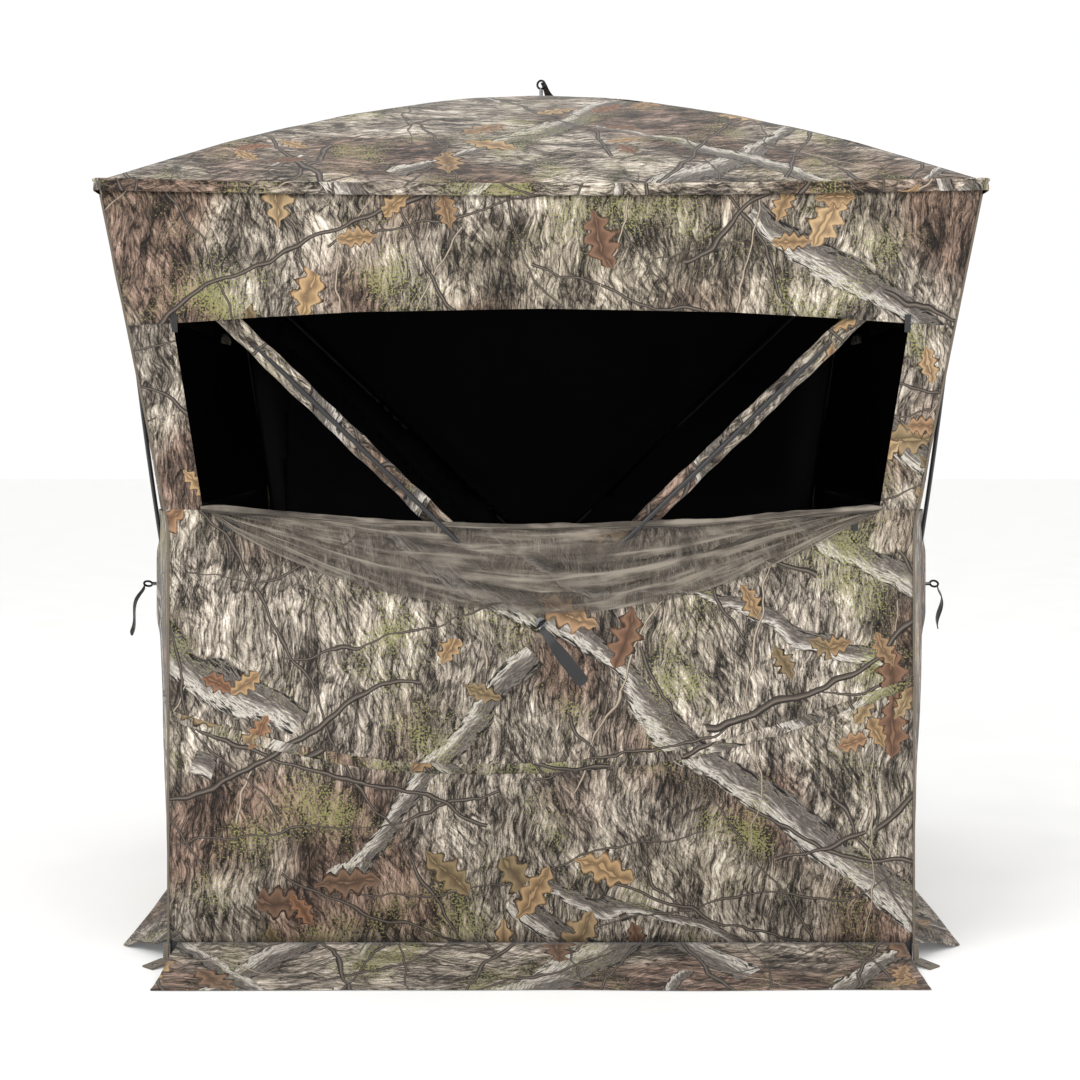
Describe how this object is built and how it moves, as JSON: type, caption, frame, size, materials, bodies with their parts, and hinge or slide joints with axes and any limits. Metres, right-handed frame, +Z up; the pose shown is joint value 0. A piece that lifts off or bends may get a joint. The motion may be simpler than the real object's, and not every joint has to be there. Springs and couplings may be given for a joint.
{
  "type": "hub ground blind",
  "caption": "Square pop-up shelter: camouflage cloth walls and domed roof tensioned by spring hubs and rods, with a wide front window, hanging netting, zipped door and ground skirts.",
  "frame": {"origin": "centre of the footprint, on the ground", "axes": "+Z up, the wide window faces -Y, +X to the right seen from in front"},
  "size_m": [1.8678, 1.8678, 1.8719],
  "materials": {
    "camo_cloth": "printed woodland camouflage outside, black coating inside",
    "black_cloth": "matt black coated cloth",
    "netting": "printed see-through netting",
    "binding": "dark woven binding tape",
    "webbing": "glossy black woven webbing",
    "zip": "black coil zip on woven tape",
    "black_plastic": "moulded black nylon",
    "steel": "zinc plated steel",
    "rod": "solid glass-fibre rod, dark"
  },
  "bodies": {
    "shell": {"back_wall_panel": "camo_cloth", "bottom_corner_sockets": "black_plastic", "corner_bindings": "binding", "door_frame_zip": "zip", "eave_band": "camo_cloth", "front_header_panel": "camo_cloth", "front_left_jamb": "camo_cloth", "front_lower_panel": "camo_cloth", "front_pole_sleeves": "camo_cloth", "front_right_jamb": "camo_cloth", "front_window_closure": "black_cloth", "front_window_mesh": "netting", "ground_skirts": "camo_cloth", "left_wall_panel": "camo_cloth", "right_wall_panel": "camo_cloth", "roof_panel": "camo_cloth", "side_pole_sleeves": "camo_cloth", "side_window_closures": "black_cloth", "stake_loops": "webbing", "top_corner_sockets": "black_plastic", "window_hooks": "black_cloth"},
    "front_hub": {"front_hub_housing": "black_plastic", "front_hub_clamp": "steel"},
    "front_strap": {"front_pull_strap": "webbing"},
    "front_pole_lower_left": {"front_pole_lower_left": "rod"},
    "front_pole_lower_right": {"front_pole_lower_right": "rod"},
    "front_pole_upper_left": {"front_pole_upper_left": "rod"},
    "front_pole_upper_right": {"front_pole_upper_right": "rod"},
    "right_hub": {"right_hub_housing": "black_plastic", "right_hub_clamp": "steel"},
    "right_strap": {"right_pull_strap": "webbing"},
    "right_pole_lower_left": {"right_pole_lower_left": "rod"},
    "right_pole_lower_right": {"right_pole_lower_right": "rod"},
    "right_pole_upper_left": {"right_pole_upper_left": "rod"},
    "right_pole_upper_right": {"right_pole_upper_right": "rod"},
    "back_hub": {"back_hub_housing": "black_plastic", "back_hub_clamp": "steel"},
    "back_strap": {"back_pull_strap": "webbing"},
    "back_pole_lower_left": {"back_pole_lower_left": "rod"},
    "back_pole_lower_right": {"back_pole_lower_right": "rod"},
    "back_pole_upper_left": {"back_pole_upper_left": "rod"},
    "back_pole_upper_right": {"back_pole_upper_right": "rod"},
    "left_hub": {"left_hub_housing": "black_plastic", "left_hub_clamp": "steel"},
    "left_strap": {"left_pull_strap": "webbing"},
    "left_pole_lower_left": {"left_pole_lower_left": "rod"},
    "left_pole_lower_right": {"left_pole_lower_right": "rod"},
    "left_pole_upper_left": {"left_pole_upper_left": "rod"},
    "left_pole_upper_right": {"left_pole_upper_right": "rod"},
    "roof_hub": {"roof_hub_housing": "black_plastic", "roof_hub_clamp": "steel"},
    "roof_strap": {"roof_pull_strap": "webbing"},
    "roof_pole_back_left": {"roof_pole_back_left": "rod"},
    "roof_pole_back_right": {"roof_pole_back_right": "rod"},
    "roof_pole_front_left": {"roof_pole_front_left": "rod"},
    "roof_pole_front_right": {"roof_pole_front_right": "rod"},
    "door": {"door_panel": "camo_cloth", "door_edge_zip": "zip"},
    "lower_slider": {"lower_zip_slider": "steel"},
    "upper_slider": {"upper_zip_slider": "steel"}
  },
  "joints": [
    {"name": "lower_slider_run", "type": "slide", "parent": "door", "child": "lower_slider", "axis": [-0.7442, -0.1628, -0.6478], "range_m": [0, 0.6073]},
    {"name": "upper_slider_run", "type": "slide", "parent": "door", "child": "upper_slider", "axis": [-0.7133, -0.0341, 0.7001], "range_m": [0, 0.6337]},
    {"name": "door_swing", "type": "hinge", "parent": "shell", "child": "door", "pos_m": [-0.69, 0.74878, 0.14], "axis": [0, 0.0843, 0.9964], "range_deg": [0, 100]},
    {"name": "front_hub_pop", "type": "slide", "parent": "shell", "child": "front_hub", "axis": [0, 1, 0], "range_m": [0, 0.23], "deforming": ["front_header_panel", "front_lower_panel", "front_left_jamb", "front_right_jamb", "front_pole_sleeves", "front_window_mesh", "front_window_closure", "window_hooks"]},
    {"name": "front_strap_lift", "type": "hinge", "parent": "front_hub", "child": "front_strap", "pos_m": [0, -0.9285, 0.69], "axis": [-0.7431, 0, -0.6691], "range_deg": [-8, 150]},
    {"name": "front_pole_upper_left_pin", "type": "hinge", "parent": "front_hub", "child": "front_pole_upper_left", "pos_m": [-0.01949, -0.872, 0.70869], "axis": [0.6921, 0, 0.7218], "range_deg": [-0.5, 13.09]},
    {"name": "front_pole_upper_right_pin", "type": "hinge", "parent": "front_hub", "child": "front_pole_upper_right", "pos_m": [0.01949, -0.872, 0.70869], "axis": [0.6921, 0, -0.7218], "range_deg": [-0.5, 13.09]},
    {"name": "front_pole_lower_left_pin", "type": "hinge", "parent": "front_hub", "child": "front_pole_lower_left", "pos_m": [-0.01993, -0.872, 0.67178], "axis": [-0.6746, 0, 0.7382], "range_deg": [-0.5, 15.44]},
    {"name": "front_pole_lower_right_pin", "type": "hinge", "parent": "front_hub", "child": "front_pole_lower_right", "pos_m": [0.01993, -0.872, 0.67178], "axis": [-0.6746, 0, -0.7382], "range_deg": [-0.5, 15.44]},
    {"name": "right_hub_pop", "type": "slide", "parent": "shell", "child": "right_hub", "axis": [-1, 0, 0], "range_m": [0, 0.23], "deforming": ["right_wall_panel", "side_pole_sleeves", "side_window_closures"]},
    {"name": "right_strap_lift", "type": "hinge", "parent": "right_hub", "child": "right_strap", "pos_m": [0.9285, 0, 0.69], "axis": [0, -0.7431, -0.6691], "range_deg": [-8, 150]},
    {"name": "right_pole_upper_left_pin", "type": "hinge", "parent": "right_hub", "child": "right_pole_upper_left", "pos_m": [0.872, -0.01949, 0.70869], "axis": [0, 0.6921, 0.7218], "range_deg": [-0.5, 13.09]},
    {"name": "right_pole_upper_right_pin", "type": "hinge", "parent": "right_hub", "child": "right_pole_upper_right", "pos_m": [0.872, 0.01949, 0.70869], "axis": [0, 0.6921, -0.7218], "range_deg": [-0.5, 13.09]},
    {"name": "right_pole_lower_left_pin", "type": "hinge", "parent": "right_hub", "child": "right_pole_lower_left", "pos_m": [0.872, -0.01993, 0.67178], "axis": [0, -0.6746, 0.7382], "range_deg": [-0.5, 15.44]},
    {"name": "right_pole_lower_right_pin", "type": "hinge", "parent": "right_hub", "child": "right_pole_lower_right", "pos_m": [0.872, 0.01993, 0.67178], "axis": [0, -0.6746, -0.7382], "range_deg": [-0.5, 15.44]},
    {"name": "back_hub_pop", "type": "slide", "parent": "shell", "child": "back_hub", "axis": [0, -1, 0], "range_m": [0, 0.23], "deforming": ["back_wall_panel", "door_frame_zip"]},
    {"name": "back_strap_lift", "type": "hinge", "parent": "back_hub", "child": "back_strap", "pos_m": [0, 0.9285, 0.69], "axis": [0.7431, 0, -0.6691], "range_deg": [-8, 150]},
    {"name": "back_pole_upper_left_pin", "type": "hinge", "parent": "back_hub", "child": "back_pole_upper_left", "pos_m": [0.01949, 0.872, 0.70869], "axis": [-0.6921, 0, 0.7218], "range_deg": [-0.5, 13.09]},
    {"name": "back_pole_upper_right_pin", "type": "hinge", "parent": "back_hub", "child": "back_pole_upper_right", "pos_m": [-0.01949, 0.872, 0.70869], "axis": [-0.6921, 0, -0.7218], "range_deg": [-0.5, 13.09]},
    {"name": "back_pole_lower_left_pin", "type": "hinge", "parent": "back_hub", "child": "back_pole_lower_left", "pos_m": [0.01993, 0.872, 0.67178], "axis": [0.6746, 0, 0.7382], "range_deg": [-0.5, 15.44]},
    {"name": "back_pole_lower_right_pin", "type": "hinge", "parent": "back_hub", "child": "back_pole_lower_right", "pos_m": [-0.01993, 0.872, 0.67178], "axis": [0.6746, 0, -0.7382], "range_deg": [-0.5, 15.44]},
    {"name": "left_hub_pop", "type": "slide", "parent": "shell", "child": "left_hub", "axis": [1, 0, 0], "range_m": [0, 0.23], "deforming": ["left_wall_panel", "side_pole_sleeves", "side_window_closures"]},
    {"name": "left_strap_lift", "type": "hinge", "parent": "left_hub", "child": "left_strap", "pos_m": [-0.9285, 0, 0.69], "axis": [0, 0.7431, -0.6691], "range_deg": [-8, 150]},
    {"name": "left_pole_upper_left_pin", "type": "hinge", "parent": "left_hub", "child": "left_pole_upper_left", "pos_m": [-0.872, 0.01949, 0.70869], "axis": [0, -0.6921, 0.7218], "range_deg": [-0.5, 13.09]},
    {"name": "left_pole_upper_right_pin", "type": "hinge", "parent": "left_hub", "child": "left_pole_upper_right", "pos_m": [-0.872, -0.01949, 0.70869], "axis": [0, -0.6921, -0.7218], "range_deg": [-0.5, 13.09]},
    {"name": "left_pole_lower_left_pin", "type": "hinge", "parent": "left_hub", "child": "left_pole_lower_left", "pos_m": [-0.872, 0.01993, 0.67178], "axis": [0, 0.6746, 0.7382], "range_deg": [-0.5, 15.44]},
    {"name": "left_pole_lower_right_pin", "type": "hinge", "parent": "left_hub", "child": "left_pole_lower_right", "pos_m": [-0.872, -0.01993, 0.67178], "axis": [0, 0.6746, -0.7382], "range_deg": [-0.5, 15.44]},
    {"name": "roof_hub_pop", "type": "slide", "parent": "shell", "child": "roof_hub", "axis": [0, 0, -1], "range_m": [0, 0.58], "deforming": ["roof_panel"]},
    {"name": "roof_strap_lift", "type": "hinge", "parent": "roof_hub", "child": "roof_strap", "pos_m": [0, 0, 1.8665], "axis": [0.9135, -0.4067, 0], "range_deg": [0, 150]},
    {"name": "roof_pole_front_left_pin", "type": "hinge", "parent": "roof_hub", "child": "roof_pole_front_left", "pos_m": [-0.01909, -0.01909, 1.81], "axis": [-0.7071, 0.7071, 0], "range_deg": [-0.5, 30.15]},
    {"name": "roof_pole_front_right_pin", "type": "hinge", "parent": "roof_hub", "child": "roof_pole_front_right", "pos_m": [0.01909, -0.01909, 1.81], "axis": [-0.7071, -0.7071, 0], "range_deg": [-0.5, 30.15]},
    {"name": "roof_pole_back_right_pin", "type": "hinge", "parent": "roof_hub", "child": "roof_pole_back_right", "pos_m": [0.01909, 0.01909, 1.81], "axis": [0.7071, -0.7071, 0], "range_deg": [-0.5, 30.15]},
    {"name": "roof_pole_back_left_pin", "type": "hinge", "parent": "roof_hub", "child": "roof_pole_back_left", "pos_m": [-0.01909, 0.01909, 1.81], "axis": [0.7071, 0.7071, 0], "range_deg": [-0.5, 30.15]}
  ],
  "couplings": [
    {"joint": "front_pole_upper_left_pin", "follows": "front_hub_pop", "rad_per_m": 0.95517},
    {"joint": "front_pole_upper_right_pin", "follows": "front_hub_pop", "rad_per_m": 0.95517},
    {"joint": "front_pole_lower_left_pin", "follows": "front_hub_pop", "rad_per_m": 1.1339},
    {"joint": "front_pole_lower_right_pin", "follows": "front_hub_pop", "rad_per_m": 1.1339},
    {"joint": "right_pole_upper_left_pin", "follows": "right_hub_pop", "rad_per_m": 0.95517},
    {"joint": "right_pole_upper_right_pin", "follows": "right_hub_pop", "rad_per_m": 0.95517},
    {"joint": "right_pole_lower_left_pin", "follows": "right_hub_pop", "rad_per_m": 1.1339},
    {"joint": "right_pole_lower_right_pin", "follows": "right_hub_pop", "rad_per_m": 1.1339},
    {"joint": "back_pole_upper_left_pin", "follows": "back_hub_pop", "rad_per_m": 0.95517},
    {"joint": "back_pole_upper_right_pin", "follows": "back_hub_pop", "rad_per_m": 0.95517},
    {"joint": "back_pole_lower_left_pin", "follows": "back_hub_pop", "rad_per_m": 1.1339},
    {"joint": "back_pole_lower_right_pin", "follows": "back_hub_pop", "rad_per_m": 1.1339},
    {"joint": "left_pole_upper_left_pin", "follows": "left_hub_pop", "rad_per_m": 0.95517},
    {"joint": "left_pole_upper_right_pin", "follows": "left_hub_pop", "rad_per_m": 0.95517},
    {"joint": "left_pole_lower_left_pin", "follows": "left_hub_pop", "rad_per_m": 1.1339},
    {"joint": "left_pole_lower_right_pin", "follows": "left_hub_pop", "rad_per_m": 1.1339},
    {"joint": "roof_pole_front_left_pin", "follows": "roof_hub_pop", "rad_per_m": 0.89213},
    {"joint": "roof_pole_front_right_pin", "follows": "roof_hub_pop", "rad_per_m": 0.89213},
    {"joint": "roof_pole_back_right_pin", "follows": "roof_hub_pop", "rad_per_m": 0.89213},
    {"joint": "roof_pole_back_left_pin", "follows": "roof_hub_pop", "rad_per_m": 0.89213}
  ]
}
